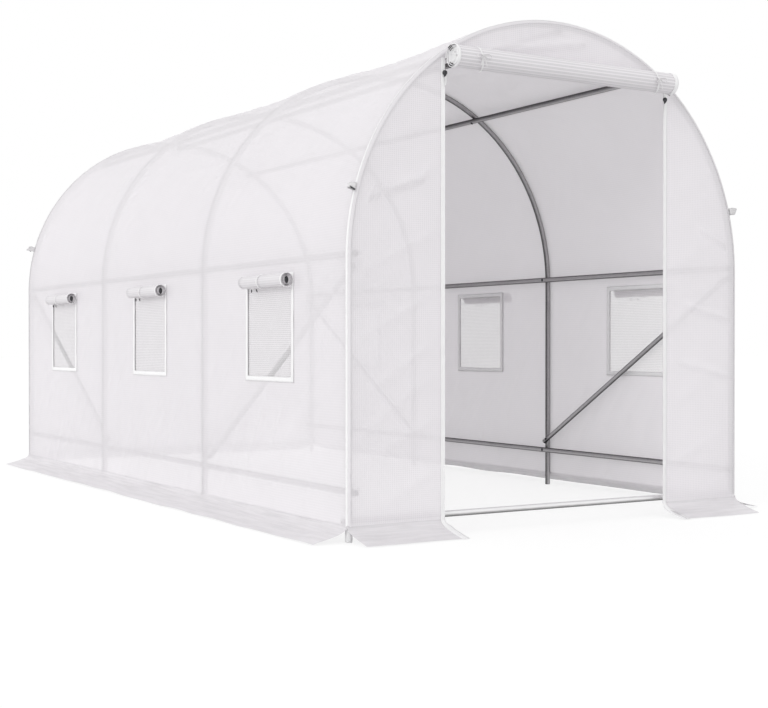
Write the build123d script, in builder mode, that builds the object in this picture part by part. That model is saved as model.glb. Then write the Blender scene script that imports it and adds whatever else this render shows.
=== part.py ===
from build123d import *
from math import acos, atan2, cos, degrees, hypot, pi, sin, sqrt
import os

# Walk-in polytunnel greenhouse: steel tube hoops under a film cover, with a rolled-up door in the
# front end and three netted windows a side.
# Origin at the centre of the footprint on the ground. +X right across the front, +Y to the rear, +Z up.

os.makedirs("parts", exist_ok=True)

# Overall size, mm
WIDTH = 2000.0              # outside of the side walls
LENGTH = 4000.0             # outside of the end walls
LEG_HEIGHT = 1062.0         # ground to the spring line of the arch
BAYS = 3

# Cover film, drawn thicker than the real one
FILM = 3.0
FIT = 0.3                   # clearance between tubes, and between tubes and film
ROOF_SAG = 24.0             # how far the roof film dips midway between two hoops
ROOF_SPANS = 3              # straight runs that follow the dip along one bay

# Steel tube frame
TUBE_D = 25.0
TUBE_SIDES = 12             # flats that stand for a round tube
BRACE_D = 22.0
BASE_BAR_Z = 76.0
LOWER_RAIL_Z = 184.0
MID_RAIL_RISE = 18.0        # above the spring line
PURLIN_ANGLE = 58.5         # degrees above the horizontal, about the arch centre
BRACE_OFFSET = 42.0         # brace ends above the lower rail and below the mid rail

# Ground skirts
SKIRT_TOP = 62.0            # where a skirt leaves the wall
SKIRT_REACH = 150.0
SKIRT_BEND = 30.0           # radius of its bend, on the upper side

# Doorway and its rolled door
DOOR_WIDTH = 1130.0
DOOR_DROP = 213.0           # top of the doorway below the top of the arch
ZIP_WIDTH = 18.0
ZIP_THICK = 2.0
DOOR_ROLL_D = 98.0
DOOR_ROLL_GAP = 4.0         # air between two turns of the roll
DOOR_ROLL_HALF_TURNS = 4

# Windows, one a bay on each side
WINDOW_WIDTH = 400.0
WINDOW_HEIGHT = 402.0
WINDOW_DROP = 53.0          # top of a window below the spring line
WINDOW_SHIFT = 25.0         # nearer the doorway than the middle of its bay
NET = 1.0
NET_MARGIN = 15.0
WINDOW_ROLL_D = 58.0
WINDOW_ROLL_SIDE = 3.0      # roll longer than the window is wide, each end
WINDOW_ROLL_SHIFT = 20.0    # nearer the doorway than its window's middle

# Guy loops on the end hoops
LOOP_ANGLE = 15.5           # degrees above the spring line
LOOP_REACH = 36.0
LOOP_WIDTH = 28.0           # of the webbing, along the seam
LOOP_DEPTH = 16.0           # between the outer faces of its two leaves
LOOP_SLOPE = 84.0           # degrees at its wide foot
LOOP_BAND = 3.0

# Places that follow from the sizes above
half_w = WIDTH / 2
half_l = LENGTH / 2
tube_r = TUBE_D / 2
mid_rail_z = LEG_HEIGHT + MID_RAIL_RISE
door_top = LEG_HEIGHT + half_w - DOOR_DROP
window_top = LEG_HEIGHT - WINDOW_DROP
hoop_r = half_w - FILM - FIT - tube_r
hoop_end = half_l - FILM - FIT - tube_r
pitch = 2 * hoop_end / BAYS
hoop_ys = [-hoop_end + pitch * i for i in range(BAYS + 1)]
bay_middles = [y + pitch / 2 for y in hoop_ys[:-1]]
rail_r = hoop_r - TUBE_D - FIT
rail_half = hoop_end + tube_r
wall_half = half_l - FILM
bay_edges = [-wall_half] + hoop_ys[1:-1] + [wall_half]
bay_names = ["front", "middle", "rear"]
door_half = DOOR_WIDTH / 2
window_middle = window_top - WINDOW_HEIGHT / 2
window_ys = [y - WINDOW_SHIFT for y in bay_middles]
sides = {"left": -1, "right": 1}


def save(piece, name):
    piece.part.label = name
    export_step(piece.part, f"parts/{name}.step")


def tube(start, end, diameter):
    """Straight tube between two points, with a corner of its section towards each wall."""
    axis = Vector(*end) - Vector(*start)
    with BuildPart() as bar:
        with BuildSketch(Plane(origin=start, z_dir=axis.normalized())):
            RegularPolygon(diameter / 2, TUBE_SIDES)
        extrude(amount=axis.length)
    return bar


# Hoops: two straight legs and a half-round arch in one bent tube
for number, y in enumerate(hoop_ys, start=1):
    with BuildPart() as hoop:
        with BuildLine(Plane.XZ.offset(-y)) as path:
            leg = Line((-hoop_r, 0), (-hoop_r, LEG_HEIGHT))
            arch = TangentArc(leg @ 1, (hoop_r, LEG_HEIGHT), tangent=leg % 1)
            Line(arch @ 1, (hoop_r, 0))
        with BuildSketch(Plane(origin=(-hoop_r, y, 0), z_dir=(0, 0, 1))):
            RegularPolygon(tube_r, TUBE_SIDES)
        sweep(path=path.line)
    save(hoop, f"hoop_{number}")

# Lengthwise tubes, all on the inner side of the hoops
for side, sign in sides.items():
    x = sign * rail_r
    for rail, z in {"lower_rail": LOWER_RAIL_Z, "mid_rail": mid_rail_z}.items():
        save(tube((x, -rail_half, z), (x, rail_half, z), TUBE_D), f"{rail}_{side}")
    angle = PURLIN_ANGLE * pi / 180
    px, pz = sign * rail_r * cos(angle), LEG_HEIGHT + rail_r * sin(angle)
    save(tube((px, -rail_half, pz), (px, rail_half, pz), TUBE_D), f"purlin_{side}")
ridge_z = LEG_HEIGHT + rail_r
save(tube((0, -rail_half, ridge_z), (0, rail_half, ridge_z), TUBE_D), "ridge_bar")

# Base bars across both ends, inside the end hoops
base_half = hoop_r + tube_r
for end, y in {"front": -hoop_end + TUBE_D + FIT, "rear": hoop_end - TUBE_D - FIT}.items():
    save(tube((-base_half, y, BASE_BAR_Z), (base_half, y, BASE_BAR_Z), TUBE_D), f"base_bar_{end}")

# Braces of the end bays: from the end hoop under the mid rail down to the next hoop
for side, sign in sides.items():
    x = sign * (hoop_r - tube_r - FIT - BRACE_D / 2)
    low, high = LOWER_RAIL_Z + BRACE_OFFSET, mid_rail_z - BRACE_OFFSET
    save(tube((x, hoop_ys[0], high), (x, hoop_ys[1], low), BRACE_D), f"brace_front_{side}")
    save(tube((x, hoop_ys[3], high), (x, hoop_ys[2], low), BRACE_D), f"brace_rear_{side}")

# Side walls, one a bay, each with its window cut through
for side, sign in sides.items():
    for i, bay in enumerate(bay_names):
        start, end = bay_edges[i], bay_edges[i + 1]
        with BuildPart() as wall:
            with BuildSketch(Plane.YZ.offset(sign * half_w)):
                with Locations(((start + end) / 2, (SKIRT_TOP + LEG_HEIGHT) / 2)):
                    Rectangle(end - start, LEG_HEIGHT - SKIRT_TOP)
                with Locations((window_ys[i], window_middle)):
                    Rectangle(WINDOW_WIDTH, WINDOW_HEIGHT, mode=Mode.SUBTRACT)
            extrude(amount=-sign * FILM)
        save(wall, f"side_wall_{side}_{bay}")


def roof_section(y, sag):
    """Half ring of film, flattened at the top by the sag."""
    inner_r = half_w - FILM
    with BuildSketch(Plane.XZ.offset(-y)) as section:
        with BuildLine():
            outer = EllipticalCenterArc((0, LEG_HEIGHT), half_w, half_w - sag, 0, arc_size=180)
            inner = EllipticalCenterArc((0, LEG_HEIGHT), inner_r, inner_r - sag, 0, arc_size=180)
            Line(outer @ 0, inner @ 0)
            Line(outer @ 1, inner @ 1)
        make_face()
    return section.sketch


# Roof, one half-round a bay, dipping along a parabola between its two hoops
# Over the end hoops it runs on level to the end walls
overhang = wall_half - hoop_end
steps = [k / ROOF_SPANS for k in range(ROOF_SPANS + 1)]
for i, bay in enumerate(bay_names):
    with BuildPart() as roof:
        loft([roof_section(hoop_ys[i] + pitch * t, 4 * ROOF_SAG * t * (1 - t)) for t in steps], ruled=True)
        if i == 0:
            extrude(roof_section(hoop_ys[0], 0), amount=overhang)
        if i == BAYS - 1:
            extrude(roof_section(hoop_ys[BAYS], 0), amount=-overhang)
    save(roof, f"roof_{bay}")


def end_panel(plane, thickness, window=None):
    """Full section of the tunnel, straight sides and a half-round top, or the part in a window."""
    with BuildPart() as panel:
        with BuildSketch(plane):
            with BuildLine():
                base = Line((-half_w, SKIRT_TOP), (half_w, SKIRT_TOP))
                right = Line(base @ 1, (half_w, LEG_HEIGHT))
                top = TangentArc(right @ 1, (-half_w, LEG_HEIGHT), tangent=right % 1)
                Line(top @ 1, base @ 0)
            make_face()
            if window:
                x0, x1, z0, z1 = window
                with Locations(((x0 + x1) / 2, (z0 + z1) / 2)):
                    Rectangle(x1 - x0, z1 - z0, mode=Mode.INTERSECT)
        extrude(amount=thickness)
    return panel


# Front end in three panels round the doorway, and a closed rear end
total_top = LEG_HEIGHT + half_w
front_windows = {
    "end_front_left": (-half_w, -door_half, SKIRT_TOP, total_top),
    "end_front_right": (door_half, half_w, SKIRT_TOP, total_top),
    "end_front_top": (-door_half, door_half, door_top, total_top),
}
for name, window in front_windows.items():
    save(end_panel(Plane.XZ.offset(half_l), -FILM, window), name)
save(end_panel(Plane.XZ.offset(-half_l), FILM), "end_rear")

# Skirts: a bend away from the wall, then straight to the ground
under_r = SKIRT_BEND + FILM
tip_distance = hypot(SKIRT_REACH - SKIRT_BEND, SKIRT_TOP)
bend_end = atan2(SKIRT_TOP, SKIRT_REACH - SKIRT_BEND) + acos(under_r / tip_distance)
straight = sqrt(tip_distance**2 - under_r**2)


def skirt(plane, length):
    """Skirt section, out from the wall along local x, carried along the wall."""
    with BuildPart() as piece:
        with BuildSketch(plane):
            with BuildLine():
                centre = (SKIRT_BEND, SKIRT_TOP)
                turn = degrees(pi - bend_end)
                upper = CenterArc(centre, SKIRT_BEND, 180, turn)
                under = CenterArc(centre, under_r, 180, turn)
                upper_run = Line(upper @ 1, upper @ 1 + (upper % 1) * straight)
                under_run = Line(under @ 1, under @ 1 + (under % 1) * straight)
                Line(upper_run @ 1, under_run @ 1)
                Line(upper @ 0, under @ 0)
            make_face()
        extrude(amount=length)
    return piece


def wall_plane(x, y, out, along):
    """Upright section plane at a wall's foot: local x points out, and it is carried along."""
    return Plane(origin=(x, y, 0), x_dir=out, z_dir=along)


flap = half_w - door_half
save(skirt(wall_plane(-half_w, -wall_half, (-1, 0, 0), (0, 1, 0)), 2 * wall_half), "skirt_left")
save(skirt(wall_plane(half_w, wall_half, (1, 0, 0), (0, -1, 0)), 2 * wall_half), "skirt_right")
save(skirt(wall_plane(-half_w, half_l, (0, 1, 0), (1, 0, 0)), WIDTH), "skirt_rear")
save(skirt(wall_plane(-door_half, -half_l, (0, -1, 0), (-1, 0, 0)), flap), "skirt_front_left")
save(skirt(wall_plane(half_w, -half_l, (0, -1, 0), (-1, 0, 0)), flap), "skirt_front_right")

# Window nets behind the openings, and rolled flaps level with the openings' top edges
window_roll_r = WINDOW_ROLL_D / 2
window_roll_half = WINDOW_WIDTH / 2 + WINDOW_ROLL_SIDE
for side, sign in sides.items():
    with BuildPart() as nets:
        with BuildSketch(Plane.YZ.offset(sign * (half_w - FILM))):
            with Locations(*[(y, window_middle) for y in window_ys]):
                Rectangle(WINDOW_WIDTH + 2 * NET_MARGIN, WINDOW_HEIGHT + 2 * NET_MARGIN)
        extrude(amount=-sign * NET)
    save(nets, f"window_nets_{side}")
    with BuildPart() as rolls:
        for y in window_ys:
            with BuildSketch(Plane.XZ.offset(WINDOW_ROLL_SHIFT - y)):
                with Locations((sign * (half_w + window_roll_r), window_top)):
                    Circle(window_roll_r)
            extrude(amount=window_roll_half, both=True)
    save(rolls, f"window_rolls_{side}")

# Door rolled up over the doorway, from the wall over the top and inwards
# Each half turn is centred half a step beside the one before, so that the film winds without a kink
roll_r = DOOR_ROLL_D / 2
roll_half = door_half - FIT
roll_step = (FILM + DOOR_ROLL_GAP) / 2
with BuildPart() as door_roll:
    with BuildSketch(Plane(origin=(-roll_half, -half_l - roll_r, door_top), x_dir=(0, 1, 0), z_dir=(1, 0, 0))):
        with BuildLine():
            for k in range(DOOR_ROLL_HALF_TURNS):
                centre = (-roll_step * (k % 2), 0)
                face = CenterArc(centre, roll_r - roll_step * k, 180 * k, 180)
                back = CenterArc(centre, roll_r - roll_step * k - FILM, 180 * k, 180)
                if k == 0:
                    Line(face @ 0, back @ 0)
            Line(face @ 1, back @ 1)
        make_face()
    extrude(amount=2 * roll_half)
save(door_roll, "door_roll")

# Zip tapes down both sides of the doorway
with BuildPart() as tapes:
    with BuildSketch(Plane.XZ.offset(half_l)):
        for sign in sides.values():
            with Locations((sign * (door_half + ZIP_WIDTH / 2), (SKIRT_TOP + door_top) / 2)):
                Rectangle(ZIP_WIDTH, door_top - SKIRT_TOP)
    extrude(amount=ZIP_THICK)
save(tapes, "zip_tapes")

# Guy loops: folded bands sewn into the end hoops' seams, flat along them and closer towards the outside
with BuildPart() as loops:
    for end_y in (-half_l + LOOP_DEPTH / 2, half_l - LOOP_DEPTH / 2):
        for angle in (LOOP_ANGLE * pi / 180, pi - LOOP_ANGLE * pi / 180):
            out, tangent = (cos(angle), 0, sin(angle)), (-sin(angle), 0, cos(angle))
            seat = (half_w * cos(angle), end_y, LEG_HEIGHT + half_w * sin(angle))
            with BuildSketch(Plane(origin=seat, x_dir=out, z_dir=tangent)):
                with Locations((LOOP_REACH / 2, 0)):
                    Trapezoid(LOOP_DEPTH, LOOP_REACH, LOOP_SLOPE, rotation=-90)
                    Trapezoid(LOOP_DEPTH - 2 * LOOP_BAND, LOOP_REACH - 2 * LOOP_BAND, LOOP_SLOPE,
                              rotation=-90, mode=Mode.SUBTRACT)
            extrude(amount=LOOP_WIDTH / 2, both=True)
save(loops, "guy_loops")
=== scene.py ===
import math

import bmesh
import bpy
import numpy as np
from mathutils import Euler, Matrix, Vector


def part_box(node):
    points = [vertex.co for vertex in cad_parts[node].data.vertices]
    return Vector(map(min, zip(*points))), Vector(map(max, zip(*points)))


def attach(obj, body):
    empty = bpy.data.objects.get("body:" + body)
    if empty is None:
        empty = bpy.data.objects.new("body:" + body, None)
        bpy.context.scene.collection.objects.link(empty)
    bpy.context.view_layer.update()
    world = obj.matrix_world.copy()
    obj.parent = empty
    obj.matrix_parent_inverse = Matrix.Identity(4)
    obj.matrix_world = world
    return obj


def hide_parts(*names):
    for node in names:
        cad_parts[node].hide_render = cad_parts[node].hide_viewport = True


bl_info = {
    "name": "Polytunnel greenhouse",
    "version": (1, 0, 0),
    "blender": (4, 5, 0),
    "location": "3D View > Sidebar > Tunnel",
    "description": "Steel tube polytunnel with a film cover, netted windows and a rolled-up zip door",
    "category": "Add Mesh",
}

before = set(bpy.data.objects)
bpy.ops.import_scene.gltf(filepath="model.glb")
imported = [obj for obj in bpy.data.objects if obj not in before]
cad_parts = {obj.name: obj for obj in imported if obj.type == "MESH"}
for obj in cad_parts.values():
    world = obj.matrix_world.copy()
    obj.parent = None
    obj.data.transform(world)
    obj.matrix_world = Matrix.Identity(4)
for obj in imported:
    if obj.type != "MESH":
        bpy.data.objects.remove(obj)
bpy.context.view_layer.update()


def node_box(name):
    """Lowest and highest corner of one of the frame's nodes."""
    low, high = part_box(name)
    return np.array(low), np.array(high)


# Places read from the frame, metres
WALL_LOW, WALL_HIGH = node_box("side_wall_right_front")
HALF_WIDTH, SPRING, FOOT = float(WALL_HIGH[0]), float(WALL_HIGH[2]), float(WALL_LOW[2])
FILM_DEPTH = float(WALL_HIGH[0] - WALL_LOW[0])
HALF_LENGTH = float(node_box("end_rear")[1][1])
HOOPS = [node_box(f"hoop_{number}") for number in range(1, 5)]
HOOP_YS = [float(low[1] + high[1]) / 2 for low, high in HOOPS]
TUBE_R = float(HOOPS[0][1][1] - HOOPS[0][0][1]) / 2
HOOP_R = float(HOOPS[0][1][0]) - TUBE_R
PITCH = HOOP_YS[1] - HOOP_YS[0]
BAY_MIDDLES = [y + PITCH / 2 for y in HOOP_YS[:-1]]
SHEET_R = HALF_WIDTH - FILM_DEPTH / 2
SHEET_END = HALF_LENGTH - FILM_DEPTH / 2
CORNER_R = SHEET_R - HOOP_R
DOOR_HALF = float(node_box("end_front_top")[1][0])
DOOR_TOP = float(node_box("end_front_top")[0][2])
NET_LOW, NET_HIGH = node_box("window_nets_right")
FLAP_LOW, FLAP_HIGH = node_box("window_rolls_right")
WINDOW_YS = [y + float(NET_LOW[1] + NET_HIGH[1]) / 2 for y in BAY_MIDDLES]
FLAP_YS = [y + float(FLAP_LOW[1] + FLAP_HIGH[1]) / 2 for y in BAY_MIDDLES]
ROLL_LOW, ROLL_HIGH = node_box("door_roll")
SKIRT_REACH = -HALF_WIDTH - float(node_box("skirt_left")[0][0])
LEG = SPRING - FOOT
GIRTH = 2 * LEG + math.pi * SHEET_R
BAYS = ["front", "middle", "rear"]
SIDES = {"left": -1, "right": 1}
ENDS = {"front": -1, "rear": 1}
SKIRT_LENGTH = 0.168
SKIRT_WEAVE = 0.17
# The zip tapes and the ties' upper ends lie this far outside the film of the front end
TAPE_GAP = 0.0022
TUBE_SIDES = 24
TURN = 2 * math.pi
WELD = 2e-6
# No lathe axis of the tunnel lies along this direction
ASKEW = [0.31, 0.95, 0.04]


# Arrays of points

def unit(vectors):
    """Each vector over its own length."""
    return vectors / np.linalg.norm(vectors, axis=-1, keepdims=True)


def stops(breaks, step):
    """Stations from the first break to the last, with every break among them and at most a step apart."""
    counts = [max(1, math.ceil((b - a) / step)) for a, b in zip(breaks, breaks[1:])]
    runs = [np.linspace(a, b, n + 1)[:-1] for a, b, n in zip(breaks, breaks[1:], counts)]
    return np.concatenate([*runs, [breaks[-1]]])


def smooth(x, low, high):
    """0 below low, 1 above high, and 3 t^2 - 2 t^3 between."""
    t = np.clip((x - low) / (high - low), 0, 1)
    return t * t * (3 - 2 * t)


def ripple(u, v, seed, size, waves=9):
    """Seeded drift from about -1 to 1: a sum of cos(k . (u, v) + phase), scaled by the root of the waves."""
    rng = np.random.default_rng(seed)
    angle, phase = rng.uniform(0, TURN, (2, waves))
    k = TURN / (size * rng.uniform(0.7, 1.6, waves))
    total = np.zeros(np.broadcast(u, v).shape)
    for a, p, w in zip(angle, phase, k):
        total += np.cos(u * w * math.cos(a) + v * w * math.sin(a) + p)
    return total / math.sqrt(2 * waves)


def folds(u, v, seed, size, sharp=3.0):
    """Thin ridges where a drift crosses nought: (1 - |drift|) to a power, from 0 to 1."""
    return np.clip(1 - np.abs(ripple(u, v, seed, size)), 0, 1) ** sharp


def outline(s, radius, foot=FOOT):
    """Tunnel section at a girth s: up the left leg, round the arch and down the right leg.

    Gives x, z, the outward normal's x and z, and the angle along the arch."""
    leg = SPRING - foot
    a = np.clip((s - leg) / radius, 0, math.pi)
    past = s - leg - math.pi * radius
    x = -radius * np.cos(a)
    z = np.where(s < leg, foot + s, np.where(past > 0, SPRING - past, SPRING + radius * np.sin(a)))
    return x, z, -np.cos(a), np.sin(a), a


def shell(points, uv=None, keep=None, flip=False):
    """Quads of a grid of points, facing d/di x d/dj, as vertices, faces and the faces' own UVs."""
    n, m = points.shape[:2]
    if uv is None:
        along = np.linalg.norm(np.diff(points, axis=0), axis=-1).mean(1)
        across = np.linalg.norm(np.diff(points, axis=1), axis=-1).mean(0)
        u, v = np.r_[0, np.cumsum(along)], np.r_[0, np.cumsum(across)]
        uv = np.stack(np.meshgrid(u, v, indexing="ij"), -1)
    index = np.arange(n * m).reshape(n, m)
    quads = np.stack([index[:-1, :-1], index[1:, :-1], index[1:, 1:], index[:-1, 1:]], -1)
    quads = quads[keep] if keep is not None else quads.reshape(-1, 4)
    if flip:
        quads = quads[:, ::-1]
    return points.reshape(-1, 3), quads, uv.reshape(-1, 2)[quads]


def tube(line, side, radius, sides=20, lip=0.0012):
    """Round tube: line + r (cos b (side x tangent) + sin b side), closed by rows of no radius."""
    line = np.asarray(line, float)
    tangent = unit(np.gradient(line, axis=0))
    radius = np.broadcast_to(np.asarray(radius, float), len(line))
    rows = np.r_[0, 0, np.arange(len(line)), len(line) - 1, len(line) - 1]
    scale, shift = np.ones(len(rows)), np.zeros(len(rows))
    scale[[0, -1]], scale[[1, -2]] = 0, 1 - lip / radius.max()
    shift[2], shift[-3] = lip, -lip
    centre = line[rows] + tangent[rows] * shift[:, None]
    side = np.broadcast_to(np.asarray(side, float), line.shape)
    normal = unit(np.cross(side, tangent))[rows][:, None]
    b = np.linspace(TURN, 0, sides + 1)[None, :, None]
    ring = np.cos(b) * normal + np.sin(b) * side[rows][:, None]
    points = centre[:, None] + (radius[rows] * scale)[:, None, None] * ring
    length = np.r_[0, np.cumsum(np.linalg.norm(np.diff(centre, axis=0), axis=1))]
    u, v = np.meshgrid(length, np.linspace(0, TURN, sides + 1) * TUBE_R, indexing="ij")
    return shell(points, np.stack([u, v], -1))


def turned(profile, origins, axes, sides=14):
    """Lathe shapes, one at each origin: origin + h axis + r (cos b p + sin b q) for each (r, h)."""
    profile = np.asarray(profile, float)
    shells = []
    for origin, axis in zip(np.asarray(origins, float), unit(np.asarray(axes, float))):
        p = unit(np.cross(axis, ASKEW))
        q = np.cross(axis, p)
        b = np.linspace(0, TURN, sides + 1)[None, :, None]
        ring = np.cos(b) * p + np.sin(b) * q
        points = origin + profile[:, None, 1:] * axis + profile[:, None, :1] * ring
        shells.append(shell(points, flip=True))
    return shells


def ribbon(line, across, width, columns=2):
    """Flat band: line + w across, for w from -width / 2 to width / 2."""
    line, across = np.asarray(line, float), np.broadcast_to(np.asarray(across, float), np.shape(line))
    w = np.linspace(-0.5, 0.5, columns + 1)[None, :, None] * np.reshape(width, (-1, 1, 1))
    return shell(line[:, None] + w * unit(across)[:, None])


def piece(name, shells, finish, stands_for=(), weld=True, sharp=None, thick=0.0, inward=0.0):
    """Object from shells of quads, its seams and poles merged, riding on the frame's one body."""
    starts = np.cumsum([0] + [len(s[0]) for s in shells])
    points = np.concatenate([s[0] for s in shells])
    faces = np.concatenate([s[1] + start for s, start in zip(shells, starts)])
    uvs = np.concatenate([s[2] for s in shells])
    mesh = bpy.data.meshes.new(name)
    mesh.vertices.add(len(points))
    mesh.vertices.foreach_set("co", points.astype(np.float32).ravel())
    mesh.loops.add(faces.size)
    mesh.loops.foreach_set("vertex_index", faces.astype(np.int32).ravel())
    mesh.polygons.add(len(faces))
    mesh.polygons.foreach_set("loop_start", np.arange(0, faces.size, 4, dtype=np.int32))
    mesh.polygons.foreach_set("use_smooth", np.ones(len(faces), bool))
    mesh.update(calc_edges=True)
    mesh.uv_layers.new(name="UVMap").data.foreach_set("uv", uvs.astype(np.float32).ravel())
    bm = bmesh.new()
    bm.from_mesh(mesh)
    if weld:
        bmesh.ops.remove_doubles(bm, verts=bm.verts, dist=WELD)
    bmesh.ops.delete(bm, geom=[v for v in bm.verts if not v.link_faces], context="VERTS")
    bm.to_mesh(mesh)
    bm.free()
    if sharp:
        mesh.set_sharp_from_angle(angle=math.radians(sharp))
    obj = bpy.data.objects.new(name, mesh)
    bpy.context.scene.collection.objects.link(obj)
    mesh.materials.append(finish)
    if thick:
        wall = obj.modifiers.new("thickness", "SOLIDIFY")
        wall.thickness, wall.offset, wall.use_even_offset = thick, inward, False
    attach(obj, "root")
    if stands_for:
        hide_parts(*stands_for)
    return obj


# Finishes

class Value:
    """A socket that takes part in Python expressions; each operator adds its Math node."""

    def __init__(self, finish, socket):
        self.finish, self.socket = finish, socket

    def math(self, operation, *others):
        return self.finish.node("ShaderNodeMath", {"operation": operation}, dict(enumerate([self, *others])))

    def __add__(self, other):
        return self.math("ADD", other)

    def __sub__(self, other):
        return self.math("SUBTRACT", other)

    def __rsub__(self, other):
        return self.finish.node("ShaderNodeMath", {"operation": "SUBTRACT"}, {0: other, 1: self})

    def __mul__(self, other):
        return self.math("MULTIPLY", other)

    __radd__, __rmul__ = __add__, __mul__

    def cosine(self):
        return self.math("COSINE")

    def most(self, other):
        return self.math("MAXIMUM", other)

    def within(self):
        """Held between 0 and 1."""
        return self.finish.node("ShaderNodeClamp", {}, {"Value": self})

    def above(self, low, high=1.0):
        """0 at low and 1 at high, straight between."""
        return ((self - low) * (1 / (high - low))).within()


class Finish:
    """One material or world and the nodes that make it."""

    def __init__(self, name, tree_of=None):
        self.block = tree_of or bpy.data.materials.new(name)
        self.block.use_nodes = True
        self.tree = self.block.node_tree
        self.tree.nodes.clear()

    def node(self, kind, settings=None, sockets=None, output=0):
        """A node of that type, with its settings made first and then its sockets' values or links."""
        made = self.tree.nodes.new(kind)
        for key, value in (settings or {}).items():
            setattr(made, key, value)
        for key, value in (sockets or {}).items():
            if isinstance(value, Value):
                self.tree.links.new(value.socket, made.inputs[key])
            else:
                made.inputs[key].default_value = value
        return Value(self, made.outputs[output]) if made.outputs else made

    def place(self):
        """The point in metres: Object coordinates."""
        return self.node("ShaderNodeTexCoord", output="Object")

    def cloth(self):
        """The place on the cloth in metres: the UV map's u and v."""
        uv = self.node("ShaderNodeUVMap", {"uv_map": "UVMap"})
        return (self.node("ShaderNodeSeparateXYZ", {}, {0: uv}, axis) for axis in (0, 1))

    def noise(self, scale, detail=3.0, where=None, stretch=None):
        """Drift from 0 to 1 about 1 / scale metres across."""
        where = where or self.place()
        if stretch:
            where = self.node("ShaderNodeMapping", {}, {"Vector": where, "Scale": stretch})
        return self.node("ShaderNodeTexNoise", {}, {"Vector": where, "Scale": scale, "Detail": detail})

    def colour(self, amount, first, second):
        """First colour where amount is 0, second where it is 1; each is a colour or a socket."""
        first, second = (c if isinstance(c, Value) else (*c, 1) for c in (first, second))
        return self.node("ShaderNodeMix", {"data_type": "RGBA"}, {0: amount, 6: first, 7: second}, 2)

    def bump(self, height, distance, strength=1.0):
        sockets = {"Height": height, "Distance": distance, "Strength": strength}
        return self.node("ShaderNodeBump", {}, sockets)

    def mix(self, amount, first, second):
        return self.node("ShaderNodeMixShader", {}, {0: amount, 1: first, 2: second})

    def skin(self, **sockets):
        """Principled shader; a socket is named by its words joined by underscores."""
        sockets = {name.replace("_", " "): value for name, value in sockets.items()}
        return self.node("ShaderNodeBsdfPrincipled", {}, sockets)

    def close(self, shader, output="ShaderNodeOutputMaterial"):
        """Links the shader to the output."""
        self.node(output, {}, {"Surface": shader})
        return self.block


def shade(colour, factor):
    return tuple(min(1.0, c * factor) for c in colour)


def made_once(make):
    """A finish is made when a piece first asks for it, and shared after that."""
    def ask(*args):
        name = "_".join([make.__name__, *(a for a in args if isinstance(a, str))])
        return bpy.data.materials.get(name) or make(name, *args)
    return ask


# Uses of the film: strength of its threads across and along, their spacing, how much they show, how clear the
# squares are, tint, tone of the darkest patches and the range above it, scale of the streaks, share of the
# glow, and the heights between which it turns clear
FILM = {"across": 0.35, "along": 0.6, "pitch": (1.1, 1.1), "show": 0.3, "clear": 1.0, "tint": 1.0,
        "cell": 0.97, "range": 0.03, "streaks": (5.0, 5.0, 1.0), "glow": 1.0, "clear_from": None}
FILM_USES = {
    "cover": {},
    "corner": {"clear": 0.6, "glow": 0.5, "clear_from": (SPRING - 0.2, SPRING + 0.3)},
    "end": {"across": 1.0, "along": 0.9, "pitch": (1.0, 0.83), "show": 0.75, "tint": 1.03},
    # The skirt's streaks, with a range of 0.26, are painted shade of its small creases, and lighter film
    # lying double.
    "skirt": {"show": 0.25, "clear": 0.3, "tint": 0.868, "cell": 0.86, "range": 0.26,
              "streaks": (4.0, 60.0, 1.0)},
    "flap": {"across": 0.1, "along": 1.0, "show": 0.5, "clear": 0.0, "tint": 0.9, "cell": 0.9, "glow": 0.3},
    # The roll's darker cells, 0.82 of its tint, are painted shade of the inner turns seen between the
    # threads.
    "roll": {"across": 0.1, "along": 1.0, "pitch": (1.1, 1.5), "show": 0.9, "clear": 0.0, "tint": 0.98,
             "cell": 0.82, "glow": 0.3},
}


@made_once
def film(name, use="cover"):
    """Reinforced film: slightly clearer squares between raised threads, and some light from behind it."""
    look, way = bpy.context.scene.tunnel_film, {**FILM, **FILM_USES[use]}
    f = Finish(name)
    across, along = [(w * (TURN / look.thread_pitch / pitch)).cosine().above(0.2, 0.9)
                     for w, pitch in zip(f.cloth(), way["pitch"])]
    thread = (across * way["across"]).most(along * way["along"])
    cloud, crinkle = f.noise(1.6, 2.0), f.noise(34.0, 4.0)
    show, clear, tone = way["show"], way["clear"] * look.clearness, way["cell"]
    tint = shade(tuple(look.film_colour), way["tint"])
    uv = f.node("ShaderNodeUVMap", {"uv_map": "UVMap"})
    # Streaks along the cloth; with the skirt's wide range they are painted crease shade.
    streaks = f.noise(1.0, 3.0, uv, way["streaks"]).above(0.35, 0.65)
    patches = (cloud * 0.3 + crinkle * 0.3 + streaks * 0.4).above(0.2, 0.8)
    ground = f.colour(patches, shade(tint, tone), shade(tint, tone + way["range"]))
    colour = f.colour(thread, ground, shade(tint, 1 + 0.04 * show))
    relief = thread * (0.35 * show) + crinkle * 0.6
    solid = f.skin(Base_Color=colour, Roughness=crinkle * 0.16 + 0.36, Specular_IOR_Level=0.3,
                   Normal=f.bump(relief, 0.0006))
    lit = f.node("ShaderNodeBsdfTranslucent", {}, {"Color": (*shade(tint, 0.97), 1)})
    body = f.mix(look.glow * way["glow"], solid, lit)
    if not clear:
        return f.close(body)
    if way["clear_from"]:
        clear = f.node("ShaderNodeSeparateXYZ", {}, {0: f.place()}, 2).above(*way["clear_from"]) * clear
    share = 1 - clear * (1 - thread * (0.12 + 0.3 * show)) * (cloud * 0.3 + 0.85)
    return f.close(f.mix(share.within(), f.node("ShaderNodeBsdfTransparent"), body))


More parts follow.
